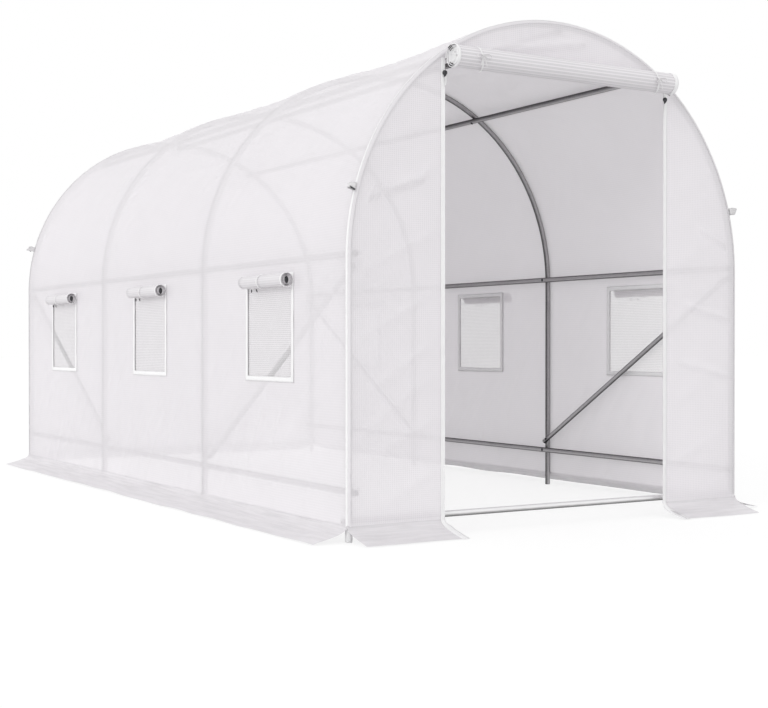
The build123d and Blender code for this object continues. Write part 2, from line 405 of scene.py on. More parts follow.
@made_once
def steel(name):
    """Galvanised tube: grey zinc in faint patches, and a painted highlight: light along two opposite sides
    and dark between them.
    """
    colour = tuple(bpy.context.scene.tunnel_colours.steel)
    f = Finish(name)
    patch = f.node("ShaderNodeTexVoronoi", {}, {"Vector": f.place(), "Scale": 160.0}, "Color")
    patch = f.node("ShaderNodeSeparateXYZ", {}, {0: patch})
    drift = f.noise(9.0, 3.0)
    around = list(f.cloth())[1]
    # Painted highlight and shade: light along two opposite sides of the tube, dark along the two between
    # them.
    face = (0.45 - (around * (2 / TUBE_R)).cosine() * 0.55).within()
    bright = (patch * 0.12 + drift * 0.16 + face * 0.8).within()
    grain = f.bump(f.noise(420.0, 2.0), 0.0001, 0.3)
    return f.close(f.skin(Base_Color=f.colour(bright, shade(colour, 0.26), shade(colour, 1.5)), Metallic=0.8,
                          Roughness=drift * 0.12 + patch * 0.04 + 0.24, Specular_Tint=(0.2, 0.2, 0.205, 1),
                          Normal=grain))


@made_once
def bright_steel(name):
    """Base bars: bright zinc on top, and darker along the underside, as painted shade of the shadowed floor
    it reflects there and some dirt.
    """
    colour = tuple(bpy.context.scene.tunnel_colours.zinc)
    f = Finish(name)
    underside = float(node_box("base_bar_front")[0][2])
    height = f.node("ShaderNodeSeparateXYZ", {}, {0: f.place()}, 2)
    rub = f.noise(14.0, 3.0)
    # Painted shade with some dirt: dark along the underside, zinc above.
    above_painted_shade = (height + rub * 0.003).above(underside + 0.006, underside + 0.016)
    tone = f.colour(above_painted_shade, shade(colour, 0.2), colour)
    return f.close(f.skin(Base_Color=tone, Metallic=above_painted_shade * 0.4 + 0.3, Roughness=rub * 0.08 + 0.3,
                          Normal=f.bump(rub, 0.0002, 0.3)))


@made_once
def tape(name, tone="white"):
    """Woven tape: ribs across it and finer threads along it, matt."""
    colours = bpy.context.scene.tunnel_colours
    colour = tuple({"white": colours.tape, "grey": colours.webbing}[tone])
    f = Finish(name)
    u, v = f.cloth()
    weave = (u * (TURN / 0.0022)).cosine() * (v * (TURN / 0.0016)).cosine()
    wear = f.noise(26.0, 3.0)
    base = f.colour((weave * 0.25 + wear * 0.9).above(0.2, 0.9), shade(colour, 0.93), colour)
    return f.close(f.skin(Base_Color=base, Roughness=wear * 0.15 + 0.62,
                          Normal=f.bump(weave * 0.5 + wear * 0.5, 0.0004, 0.6)))


@made_once
def net(name):
    """Insect net: fine white threads on an open square mesh, with a thicker level thread at every few."""
    look = bpy.context.scene.tunnel_film
    colour = tuple(look.net_colour)
    f = Finish(name)
    level, height = f.cloth()
    lines = [(w * (TURN / look.net_pitch)).cosine().above(0.1) for w in (level, height)]
    rib = (height * (TURN / look.net_rib)).cosine().above(0.5, 0.95)
    thread = (lines[0].most(lines[1]) * 0.26 + 0.46).most(rib * 0.8)
    worn = f.noise(20.0)
    solid = f.skin(Base_Color=f.colour(worn, shade(colour, 0.94), colour), Roughness=worn * 0.1 + 0.55,
                   Normal=f.bump(thread, 0.0004))
    return f.close(f.mix(thread, f.node("ShaderNodeBsdfTransparent"), solid))


@made_once
def dark(name):
    """Dark cast metal and plastic of the sliders, toggles and bolt heads; on the door roll's teeth and the
    window rolls' core tubes it is painted shade.
    """
    colour = tuple(bpy.context.scene.tunnel_colours.fittings)
    f = Finish(name)
    worn = f.noise(180.0, 4.0)
    tone = f.colour(worn.above(0.35, 0.75), shade(colour, 0.75), shade(colour, 1.5))
    return f.close(f.skin(Base_Color=tone, Metallic=0.45, Roughness=worn * 0.2 + 0.3,
                          Normal=f.bump(worn, 0.0002, 0.4)))


# Sizes and colours that a user would change

def length(name, description, default, **more):
    return bpy.props.FloatProperty(name=name, description=description, default=default, unit="LENGTH",
                                   precision=4, min=0.0, **more)


def paint(name, description, default):
    return bpy.props.FloatVectorProperty(name=name, description=description, default=default, size=3,
                                         subtype="COLOR", min=0.0, max=1.0)


def share_of(name, description, default, most):
    return bpy.props.FloatProperty(name=name, description=description, default=default, subtype="FACTOR",
                                   min=0.0, max=most)


class TunnelCover(bpy.types.PropertyGroup):
    """Shape of the film."""
    step: length("Grid step", "Distance between the film's mesh points", 0.0155)
    sag: length("Roof dip", "Dip of the roof film midway between two hoops", 0.0235)
    fold: length("Fold height", "Height of the film's small folds", 0.0085)
    swell: length("Swell", "Height of the film's broad waves", 0.0042)
    skirt_wave: length("Skirt wave", "Lift of the skirts' outer edges", 0.0035)
    crease: length("Crease", "Height of the skirts' small creases", 0.0026)
    end_crease: length("End crease", "Height of the long creases of the front end", 0.008)
    seam: length("Seam", "Width of the sewn seam over an end hoop", 0.0085)
    binding: length("Binding", "Width of the tape round a window", 0.02)
    net_margin: length("Net margin", "Net hidden behind the window's edge", 0.015)


class TunnelRolls(bpy.types.PropertyGroup):
    """Rolled door and window flaps."""
    door_length: length("Door length", "Length of the door film wound on the roll", 1.79)
    flap_length: length("Flap length", "Length of a window flap wound on its roll", 0.42)
    door_loose: length("Door outer turns", "Distance between the loose outer turns of the door roll", 0.0072)
    door_tight: length("Door inner turns", "Distance between the tight inner turns of the door roll", 0.0028)
    flap_loose: length("Flap outer turns", "Distance between the loose outer turns of a window roll", 0.0062)
    flap_tight: length("Flap inner turns", "Distance between the tight inner turns of a window roll", 0.0028)
    band: length("Door end band", "Width of the zip tape at each end of the door roll", 0.019)
    hem: length("Flap hem", "Width of the taped hem at each end of a window roll", 0.011)
    flute: length("Flute", "Depth of the shallow grooves along a roll", 0.0011)
    tie: length("Tie width", "Width of the tying tapes", 0.0065)


class TunnelFilm(bpy.types.PropertyGroup):
    """Finish of the film and nets."""
    film_colour: paint("Film", "Colour of the film", (0.915, 0.891, 0.917))
    thread_pitch: length("Thread spacing", "Distance between the film's reinforcing threads", 0.0095)
    clearness: share_of("Clearness", "Share of light that passes straight through", 0.13, 0.6)
    glow: share_of("Glow", "Share of the film's light that comes from behind it", 0.2, 1.0)
    net_colour: paint("Net", "Colour of the insect net", (0.90, 0.885, 0.90))
    net_pitch: length("Net spacing", "Distance between the net's threads", 0.0016)
    net_rib: length("Net rib spacing", "Distance between the net's thicker level threads", 0.008)


class TunnelColours(bpy.types.PropertyGroup):
    """Colours of tubes, tapes and fittings."""
    steel: paint("Steel", "Galvanised tube", (0.31, 0.302, 0.31))
    zinc: paint("Bright zinc", "Base bars", (0.88, 0.875, 0.88))
    tape: paint("Tape", "Bindings, zip tapes and ties", (0.985, 0.982, 0.988))
    # Also on the door ties' bow, where this grey is painted shade.
    webbing: paint("Webbing", "Guy loops", (0.80, 0.79, 0.80))
    fittings: paint("Fittings", "Zip sliders, toggles and bolts", (0.045, 0.045, 0.05))
    floor: paint("Floor", "Floor of the stage", (0.80, 0.80, 0.80))


class TUNNEL_OT_hoops(bpy.types.Operator):
    """Four bent tubes: legs and half-round arch, with a joint under each spring line"""
    bl_idname = "tunnel.hoops"
    bl_label = "Hoops"

    def execute(self, context):
        leg, total = SPRING, 2 * SPRING + math.pi * HOOP_R
        joint, gap, groove_depth = 0.09, 0.002, 0.0011
        leg_step, arch_step = 0.3, 0.03
        breaks = [0, leg - joint - gap, leg - joint, leg - joint + gap, leg, total - leg,
                  total - leg + joint - gap, total - leg + joint, total - leg + joint + gap, total]
        legs = stops(breaks[:5], leg_step)[:-1], stops(breaks[5:], leg_step)
        s = np.r_[legs[0], stops(breaks[4:6], arch_step)[:-1], legs[1]]
        groove = np.minimum(np.abs(s - breaks[2]), np.abs(s - breaks[7])) < gap / 2
        for number, y in enumerate(HOOP_YS, start=1):
            x, z = outline(s, HOOP_R, 0.0)[:2]
            line = np.stack([x, np.full_like(x, y), z], 1)
            shells = [tube(line, (0, 1, 0), TUBE_R - groove_depth * groove, TUBE_SIDES)]
            piece(f"hoop_tube_{number}", shells, steel(), [f"hoop_{number}"], sharp=50)
        return {"FINISHED"}


def bar_ends(name):
    """Ends and radius of a straight tube that runs along X or Y, from its node's box."""
    low, high = node_box(name)
    along = int(np.argmax(high - low))
    start, end = (low + high) / 2, (low + high) / 2
    start[along], end[along] = low[along], high[along]
    return start, end, float(high[2] - low[2]) / 2


def brace_ends(name):
    """Ends and radius of a sloping brace, from its node's box less its own thickness across the slope."""
    low, high = node_box(name)
    radius = float(high[0] - low[0]) / 2
    level = radius * PITCH / math.hypot(PITCH, high[2] - low[2])
    x = (low[0] + high[0]) / 2
    outer, inner = HOOP_YS[:2] if "front" in name else (HOOP_YS[3], HOOP_YS[2])
    return np.array([x, outer, high[2] - level]), np.array([x, inner, low[2] + level]), radius


class TUNNEL_OT_bars(bpy.types.Operator):
    """Rails, purlins, ridge bar, base bars and braces, each with a rounded end"""
    bl_idname = "tunnel.bars"
    bl_label = "Bars and braces"

    def execute(self, context):
        rails = [f"{kind}_{side}" for kind in ("lower_rail", "mid_rail", "purlin") for side in SIDES]
        for name in [*rails, "ridge_bar", "base_bar_front", "base_bar_rear"]:
            start, end, radius = bar_ends(name)
            if "base" in name:
                self.bar(name, start, end, radius, (0, 1, 0), bright_steel())
                continue
            outwards = np.array([start[0], 0, 0 if "rail" in name else start[2] - SPRING])
            self.bar(name, start, end, radius, unit(outwards), steel())
        for name in (f"brace_{end}_{side}" for end in ENDS for side in SIDES):
            self.bar(name, *brace_ends(name), (1, 0, 0), steel())
        return {"FINISHED"}

    def bar(self, name, start, end, radius, side, finish):
        line = start + (end - start) * np.linspace(0, 1, 13)[:, None]
        shells = [tube(line, side, radius, TUBE_SIDES, lip=0.002)]
        piece(f"{name}_tube", shells, finish, [name], sharp=50)


class TUNNEL_OT_bolts(bpy.types.Operator):
    """Domed bolt heads where the bars cross the hoops, on the bars' inner side"""
    bl_idname = "tunnel.bolts"
    bl_label = "Bolts"

    def execute(self, context):
        head = [(0, 0.0052), (0.0022, 0.0049), (0.0042, 0.0036), (0.0052, 0.0012), (0.0074, 0.001),
                (0.0076, -0.0006), (0, -0.0012)]
        from_end = 0.02
        places, axes = [], []
        for kind in ("lower_rail", "mid_rail", "purlin"):
            for side in SIDES:
                start, _, radius = bar_ends(f"{kind}_{side}")
                out = np.array([start[0], 0, max(0.0, start[2] - SPRING) if kind == "purlin" else 0.0])
                self.along(start, -unit(out), radius, places, axes)
        start, _, radius = bar_ends("ridge_bar")
        self.along(start, np.array([0, 0, -1.0]), radius, places, axes)
        for end in ENDS:
            start, _, radius = bar_ends(f"base_bar_{end}")
            into = -np.sign(start[1])
            for sign in SIDES.values():
                places.append([sign * HOOP_R, start[1] + into * radius, start[2]])
                axes.append([0, into, 0])
            for side in SIDES:
                top, foot, radius = brace_ends(f"brace_{end}_{side}")
                for place in (top + (foot - top) * from_end, foot + (top - foot) * from_end):
                    places.append(place - [np.sign(place[0]) * radius, 0, 0])
                    axes.append([-np.sign(place[0]), 0, 0])
        piece("joint_bolts", turned(head, places, axes), dark(), sharp=45)
        return {"FINISHED"}

    def along(self, start, axis, radius, places, axes):
        """A bolt at each hoop, on the side of the bar that faces the middle of the tunnel."""
        for y in HOOP_YS:
            places.append([start[0], y, start[2]] + axis * radius)
            axes.append(axis)


def film_offset(y, s, look):
    """Height of the folds over the roof and walls, along the film's normal, outwards.

    Broad swell: a slow drift. Ridge folds: thin ridges drawn out along the tunnel, strongest near the top.
    Hoop folds: thin ridges near a hoop that run down at a slant to the rear. Wall folds: broader ones that
    slant the same way under the spring line. All fade on the hoops, and nearly so round the windows."""
    t = np.mod((y - HOOP_YS[0]) / PITCH, 1.0)
    free = np.clip(4 * t * (1 - t), 0, 1) ** 0.6
    down = np.abs(s - GIRTH / 2)
    apart, near_hoop = 7.3, 0.2
    side = np.sign(s - GIRTH / 2) * apart
    near = np.exp(-np.minimum(t, 1 - t) / near_hoop)
    ridge_folds = folds(y / 4.5, down + side, 11, 0.12, 2) * smooth(down, 0.8, 0.35)
    slope, scale, stretch = 0.8, 1.28, 5.0
    slant, run = (y - slope * down) / scale, (down + slope * y) / scale
    hoop_folds = folds(slant + side, run / stretch, 21, 0.12, 1.6) * near
    hoop_folds = hoop_folds * smooth(down, 0.15, 0.4) * smooth(down, 1.5, 1.1)
    slope, scale = 0.7, 1.22
    slant, run = (y - slope * down) / scale, down + slope * y
    wall_folds = folds(slant + side, run / stretch, 31, 0.19, 1.4) * smooth(down, 1.35, 2.1)
    swell = look.swell * ripple(y, down + side, 3, 0.62) * (1 - 0.6 * smooth(down, 0.7, 0.2))
    net_half = (NET_HIGH[1] - NET_LOW[1] - 2 * PITCH) / 2
    past_side = np.abs(y[..., None] - np.array(WINDOW_YS)).min(-1) - net_half
    middle = GIRTH / 2 - (NET_LOW[2] + NET_HIGH[2]) / 2 + FOOT
    past_edge = np.abs(down - middle) - (NET_HIGH[2] - NET_LOW[2]) / 2
    at_edge, calm_reach, inset = 0.15, 0.14, 0.0004
    calm = at_edge + (1 - at_edge) * smooth(np.maximum(past_side, past_edge), 0.0, calm_reach)
    height = swell + look.fold * (ridge_folds * 1.15 + hoop_folds * 1.3 + wall_folds - 0.25)
    return free * calm * height - inset


class TUNNEL_OT_cover(bpy.types.Operator):
    """One sheet of film up one side, over the hoops and down the other, with six windows cut out"""
    bl_idname = "tunnel.cover"
    bl_label = "Film cover"

    def execute(self, context):
        look = context.scene.tunnel_cover
        half = float(NET_HIGH[1]) - WINDOW_YS[2] - look.net_margin
        low, high = float(NET_LOW[2]) + look.net_margin - FOOT, float(NET_HIGH[2]) - look.net_margin - FOOT
        s = stops([0, low, high, LEG, GIRTH - LEG, GIRTH - high, GIRTH - low, GIRTH], look.step)
        breaks = np.r_[HOOP_YS, np.subtract(WINDOW_YS, half), np.add(WINDOW_YS, half)]
        y = stops(np.sort(breaks), look.step)
        yy, ss = np.meshgrid(y, s, indexing="ij")
        x, z, nx, nz, a = outline(ss, SHEET_R)
        t = np.mod((yy - HOOP_YS[0]) / PITCH, 1.0)
        z = z - look.sag * 4 * t * (1 - t) * np.sin(a)
        off = film_offset(yy, ss, look)
        points = np.stack([x + nx * off, yy, z + nz * off], -1)
        my, ms = (y[:-1] + y[1:]) / 2, (s[:-1] + s[1:]) / 2
        from_foot = np.minimum(ms, GIRTH - ms)
        in_window = np.abs(my[:, None] - np.array(WINDOW_YS)).min(1) < half
        hole = in_window[:, None] & ((from_foot > low) & (from_foot < high))[None, :]
        names = [f"side_wall_{side}_{bay}" for side in SIDES for bay in BAYS]
        names += [f"roof_{bay}" for bay in BAYS]
        made = shell(points, np.stack([yy, ss - GIRTH / 2], -1), ~hole)
        sheet = piece("cover_sheet", [made], film("cover"), names, weld=False)
        size = (HOOP_YS[3] - HOOP_YS[0], GIRTH)
        holes = len(WINDOW_YS) * len(SIDES) * 2 * half * (high - low)
        size[0] * size[1] - holes
        return {"FINISHED"}


def arch_area(x0, x1, bottom, radius):
    """Area under the arch from x0 to x1 above bottom.

    It is (spring - bottom) (x1 - x0) + half of [x sqrt(r^2 - x^2) + r^2 asin(x / r)] from x0 to x1."""
    def part(x):
        return 0.5 * (x * math.sqrt(max(0.0, radius**2 - x**2)) + radius**2 * math.asin(x / radius))
    return (SPRING - bottom) * (x1 - x0) + part(x1) - part(x0)


# Long creases of the front end, metres: middle, half length, height there and rise for each metre across
END_CREASES = {
    "end_front_top": [(-0.12, 0.24, 1.943, 0.16)],
    "end_front_right": [(0.83, 0.13, 0.88, -0.21), (0.82, 0.15, 0.63, -0.21), (0.86, 0.07, 1.21, -0.45)],
    "end_front_left": [(-0.78, 0.12, 1.34, 0.3)],
}


class TUNNEL_OT_ends(bpy.types.Operator):
    """Film of the two ends: the front beside and over the doorway, and the closed rear"""
    bl_idname = "tunnel.ends"
    bl_label = "End walls"

    def execute(self, context):
        look = context.scene.tunnel_cover
        for name, x0, x1, bottom in (("left", -HOOP_R, -DOOR_HALF, FOOT), ("right", DOOR_HALF, HOOP_R, FOOT),
                                     ("top", -DOOR_HALF, DOOR_HALF, DOOR_TOP)):
            self.wall(f"end_front_{name}", x0, x1, bottom, -1, look)
        self.wall("end_rear", -HOOP_R, HOOP_R, FOOT, 1, look)
        return {"FINISHED"}

    def wall(self, node, x0, x1, bottom, facing, look):
        """x = r sin p between the edges, and z = bottom + b (arch(x) - bottom).

        Along the normal it has a slow swell, folds that slant across, gathers that run in from the arch, and
        the long creases. The first three fade on the hoop, at the foot and round the doorway."""
        p0, p1 = math.asin(x0 / HOOP_R), math.asin(x1 / HOOP_R)
        columns = math.ceil((x1 - x0) / look.step * 1.25)
        x = HOOP_R * np.sin(np.linspace(p0, p1, columns + 1))
        b = np.linspace(0, 1, math.ceil((SPRING + HOOP_R - bottom) / look.step) + 1)
        xx, bb = np.meshgrid(x, b, indexing="ij")
        top = SPRING + np.sqrt(np.clip(HOOP_R**2 - xx**2, 0, None))
        z = bottom + bb * (top - bottom)
        edge, foot_edge, door_edge = 0.25, 0.12, 0.1
        inside = np.minimum(HOOP_R - np.hypot(xx, np.clip(z - SPRING, 0, None)), edge) / edge
        free = np.clip(inside, 0, 1) ** 0.6 * smooth(z, FOOT, FOOT + foot_edge)
        if facing < 0:
            free = free * smooth(np.maximum(np.abs(xx) - DOOR_HALF, z - DOOR_TOP), 0.0, door_edge)
        angle = np.arctan2(z - SPRING + 0.4, xx)
        gathers = folds(angle * 1.1, z / 9, 41 + facing, 0.11) * np.exp(-inside * 4)
        gathers = gathers * smooth(z, SPRING, SPRING + 0.4)
        swell = ripple(xx, z, 51 + facing, 0.55) * look.swell
        slant = folds(xx * 0.5 - z * 0.86, (xx * 0.86 + z * 0.5) / 6, 61 + facing, 0.3) * look.fold * 0.45
        off = free * (swell + slant + gathers * look.fold * 0.75)
        crease_width, inset = 0.012, 0.0006
        for middle, reach, height, slope in END_CREASES.get(node, []):
            past_end = np.clip(np.abs(xx - middle) - reach, 0, None)
            away = np.abs(z - height - slope * (xx - middle)) + 4 * past_end
            off = off + look.end_crease * np.exp(-(away / crease_width) ** 2) * np.clip(4 * inside, 0, 1)
        points = np.stack([xx, facing * (SHEET_END + off - inset), z], -1)
        made = shell(points, np.stack([xx, z], -1), flip=facing > 0)
        sheet = piece(f"{node}_film", [made], film("end"), [node])
        nearest = 0.0 if x0 < 0 < x1 else min(abs(x0), abs(x1))
        tallest = SPRING + math.sqrt(HOOP_R**2 - nearest**2)
        tallest - bottom
        arch_area(x0, x1, bottom, HOOP_R)


class TUNNEL_OT_corners(bpy.types.Operator):
    """Film that turns the corner over the end hoops, with its sewn seam, and the sleeves over their feet"""
    bl_idname = "tunnel.corners"
    bl_label = "Corners and seams"

    def execute(self, context):
        look = context.scene.tunnel_cover
        sleeve_heights = (0.0004, 0.004, 0.03, FOOT, FOOT + 0.012)
        sleeve_radii = [0.0128, 0.0138, 0.0141, 0.0139, 0.0136]
        proud, seam_proud, seam_rise, seam_angle = 0.0004, 0.0009, 0.0012, 0.5
        sleeves = []
        for (end, sign), y in zip(ENDS.items(), (HOOP_YS[0], HOOP_YS[3])):
            turn = np.linspace(0, math.pi / 2, 7)
            points, uv = self.wrapped(turn, np.full(7, CORNER_R + proud), y, sign, drift=0.02)
            made = shell(points, uv, flip=sign > 0)
            corner = piece(f"corner_film_{end}", [made], film("corner"))
            b = np.linspace(-1, 1, 7)
            radius = CORNER_R + seam_proud + seam_rise * (1 - b**4)
            around = seam_angle + b * look.seam / CORNER_R / 2
            points, uv = self.wrapped(around, radius, y, sign, drift=0.12, narrow=0.7)
            piece(f"seam_tape_{end}", [shell(points, uv, flip=sign > 0)], tape("white"))
            for x in (-HOOP_R, HOOP_R):
                line = [[x, y, z] for z in sleeve_heights]
                sleeves.append(tube(line, (0, 1, 0), sleeve_radii, TUBE_SIDES, lip=0.0006))
        piece("corner_sleeves", sleeves, tape("white"), sharp=60)
        return {"FINISHED"}

    def wrapped(self, turn, radius, y, sign, drift, narrow=0.0):
        """Strip round an end hoop along the whole girth: out by r cos a, and to the end by r sin a.

        It drifts by a share of a radian, and narrows over the arch by the share given."""
        s = stops([0, LEG, GIRTH - LEG, GIRTH], 0.03)
        ss, tt = np.meshgrid(s, turn, indexing="ij")
        tt = turn.mean() + (tt - turn.mean()) * (1 - narrow * smooth(np.abs(ss - GIRTH / 2), 1.5, 0.9))
        tt = tt + drift * 0.3 * ripple(ss, ss, 71 + sign, 0.22)
        tt = np.clip(tt, -0.2, math.pi / 2 + 0.02)
        x, z, nx, nz = outline(ss * (2 * LEG + math.pi * HOOP_R) / GIRTH, HOOP_R)[:4]
        out, on = radius * np.cos(tt), radius * np.sin(tt)
        return (np.stack([x + nx * out, y + sign * on, z + nz * out], -1),
                np.stack([ss, np.broadcast_to(turn * CORNER_R, ss.shape)], -1))


def skirt_line(t, reach):
    """Skirt section from the wall foot to the ground as a cubic curve: how far out and how high."""
    p = np.array([[0, FOOT + 0.002], [0, 0.036], [0.042, 0.0255], [reach, 0.0012]])
    t = t[:, None]
    return (1 - t) ** 3 * p[0] + 3 * t * (1 - t) ** 2 * p[1] + 3 * t**2 * (1 - t) * p[2] + t**3 * p[3]


class TUNNEL_OT_skirts(bpy.types.Operator):
    """Ground skirts: each bends away from its wall, runs out to the ground and lifts in soft waves"""
    bl_idname = "tunnel.skirts"
    bl_label = "Ground skirts"

    def execute(self, context):
        look = context.scene.tunnel_cover
        wall, end = SHEET_R - 0.001, SHEET_END - 0.001
        for name, start, along, out, run in (
                ("left", (-wall, -SHEET_END), (0, 1), (-1, 0), 2 * SHEET_END),
                ("right", (wall, SHEET_END), (0, -1), (1, 0), 2 * SHEET_END),
                ("rear", (-SHEET_R, end), (1, 0), (0, 1), 2 * SHEET_R),
                ("front_left", (-DOOR_HALF, -end), (-1, 0), (0, -1), SHEET_R - DOOR_HALF),
                ("front_right", (SHEET_R, -end), (-1, 0), (0, -1), SHEET_R - DOOR_HALF)):
            made = self.skirt(look, start, along, out, run, 81 + len(name))
            sheet = piece(f"skirt_{name}_film", [made], film("skirt"), [f"skirt_{name}"])
        return {"FINISHED"}

    def skirt(self, look, start, along, out, run, seed):
        """Section swept along the wall, lifted by waves that grow outwards, soft folds and small creases.

        Its outer edge wanders in a little."""
        step, wander = 0.02, 0.02
        t = np.linspace(0, 1, 49)
        section = skirt_line(t, SKIRT_REACH)
        ww, tt = np.meshgrid(stops([0, run], step), t, indexing="ij")
        hump = np.sin(math.pi * tt)
        waves = (ripple(ww, tt * 0.1, seed, 0.42) + 0.9).clip(0) * look.skirt_wave * tt**2
        soft = folds(ww, tt * 0.03, seed + 9, 0.3) * look.fold * 0.3 * hump
        creases = folds(ww / 4 + tt * 0.02, tt * SKIRT_LENGTH, seed + 13, 0.08, 1.3)
        creases = creases * (0.6 + 0.5 * ripple(ww, tt, seed + 2, 0.4))
        lift = waves + soft + creases.clip(0) * look.crease * hump**0.5
        reach = 1 - wander * (ripple(ww, ww, seed + 5, 0.5) + 1) * tt**3
        away, height = section[None, :, 0] * reach, section[None, :, 1] + lift
        base = np.array(start) + ww[..., None] * np.array(along) + away[..., None] * np.array(out)
        points = np.concatenate([base, height[..., None]], -1)
        return shell(points, np.stack([ww, tt * SKIRT_WEAVE], -1))


def scroll(radius, steps, wound, half, centre, look, seed, flutes, start=0.0, spin=1, axis=0, trim=(-1, 1),
           sunk=0.004, pressed=0.0, loose=1.2, lean=0.0):
    """Wound sheet: r falls by the first step a turn outside and by the second further in, with flutes.

    It ends where the length used, the sum of r over the angle, reaches the wound length. Towards its ends the
    inner turns stand back by sunk (1 - r / R). The core is pressed narrower by pressed (1 - r / R), and lies
    off centre by lean (R - r)."""
    bit, core, column = TURN / 64, 0.004, 0.03
    angle = np.arange(0, 20 * TURN, bit)
    step = steps[1] + (steps[0] - steps[1]) * (1 - smooth(angle / TURN, loose, loose + 0.8))
    falling = radius - np.r_[0, np.cumsum(step[:-1])] * bit / TURN
    used = np.r_[0, np.cumsum(falling[:-1]) * bit]
    last = int(np.argmax((used >= wound) | (falling < core)))
    angle, falling, used = angle[:last + 1], falling[:last + 1], used[:last + 1]
    columns = max(5, math.ceil((trim[1] - trim[0]) * half / column) + 1)
    along = np.linspace(trim[0], trim[1], columns) * half
    ww, aa = np.meshgrid(along, angle, indexing="ij")
    depth = 0.55 + 0.45 * ripple(ww * 2, aa * 0.8, seed + 1, 0.9)
    groove = np.cos(aa * flutes + 0.9 * ripple(ww, aa, seed, 0.5)) * depth
    inside = 1 - falling / radius
    outer = np.exp(-4 * inside)
    uneven, slipped, set_in, end_share = 0.0006, 0.0025, 0.002, 0.9
    r = falling + look.flute * (groove - 1) * outer + uneven * ripple(ww, aa * 0.02, seed + 2, 0.2)
    at_end = smooth(np.abs(ww / half), end_share, 1.0) * np.sign(ww)
    slip = slipped * ripple(aa * 0.1, aa * 0.03, seed + 3, 0.9) - set_in - sunk * inside
    b = start + spin * aa
    across = r * np.cos(b) * (1 - pressed * inside) + lean * radius * inside
    place = ww + slip * at_end
    x, y = (place, across) if axis == 0 else (across, place)
    points = np.stack([centre[0] + x, centre[1] + y, centre[2] + r * np.sin(b)], -1)
    uv = np.stack([ww, np.broadcast_to(used, ww.shape)], -1)
    return shell(points, uv, flip=(spin > 0) == (axis == 1)), falling[-1]


def tie_round(place, radius, width, slack, angles, axis_x=True):
    """Tape about a roll from one angle to another. It slides along by slack, and by a third more below."""
    b = np.linspace(*angles, 33)
    t = np.linspace(0, 1, 33)
    shift = slack * (smooth(t, 0.0, 0.45) - 1 + 0.35 * smooth(t, 0.45, 1.0))
    across, up = radius * np.cos(b), radius * np.sin(b)
    x, y = (shift, across) if axis_x else (across, shift)
    line = np.stack([place[0] + x, place[1] + y, place[2] + up], 1)
    return ribbon(line, (1, 0, 0) if axis_x else (0, 1, 0), width)


def bow(knot, out, right, size, width):
    """Two loops and two tails of flat tape from a knot: a loop is L sin t out and W sin 2t across."""
    knot, out, right = (np.asarray(v, float) for v in (knot, out, right))
    up = np.cross(out, right)
    t = np.linspace(0, math.pi, 17)[:, None]
    tail = np.linspace(0, 1, 9)[:, None]
    lift, wide, rise, tilt = 0.0015, 0.27, 0.22, 0.3
    splay, tail_length, curl = 0.35, 1.25, 0.002
    shells = []
    for sign, droop in ((1, -0.25), (-1, -0.35)):
        reach = unit(right * sign + up * droop)
        side = np.cross(out, reach)
        loop = reach * np.sin(t) + side * wide * np.sin(2 * t) + out * rise * np.sin(t)
        shells.append(ribbon(knot + out * lift + loop * size, out + side * tilt, width))
        end = (right * sign * splay - up) * size * tail_length * tail
        shells.append(ribbon(knot + end + out * (lift + curl * np.sin(3 * tail)), right, width))
    return shells


# Window rolls: what is added to a roll's radius for its film, hem and tie, where the tie sits beside the
# middle and how it runs, and the toggles' place beside the tie and slant
FLAP_LAYERS = {"film": -0.0006, "hem": 0.0002, "tie": 0.0008}
FLAP_TIE = {"place": 0.016, "slack": 0.012, "right": (0.85 * math.pi, -0.55 * math.pi),
            "left": (0.15 * math.pi, 1.55 * math.pi)}
FLAP_TOGGLES = [(0.095, -0.004), (0.05, -0.012)]
TOGGLE_RADII = [0.0014, 0.002, 0.0026, 0.0028, 0.0026, 0.0022, 0.0016]


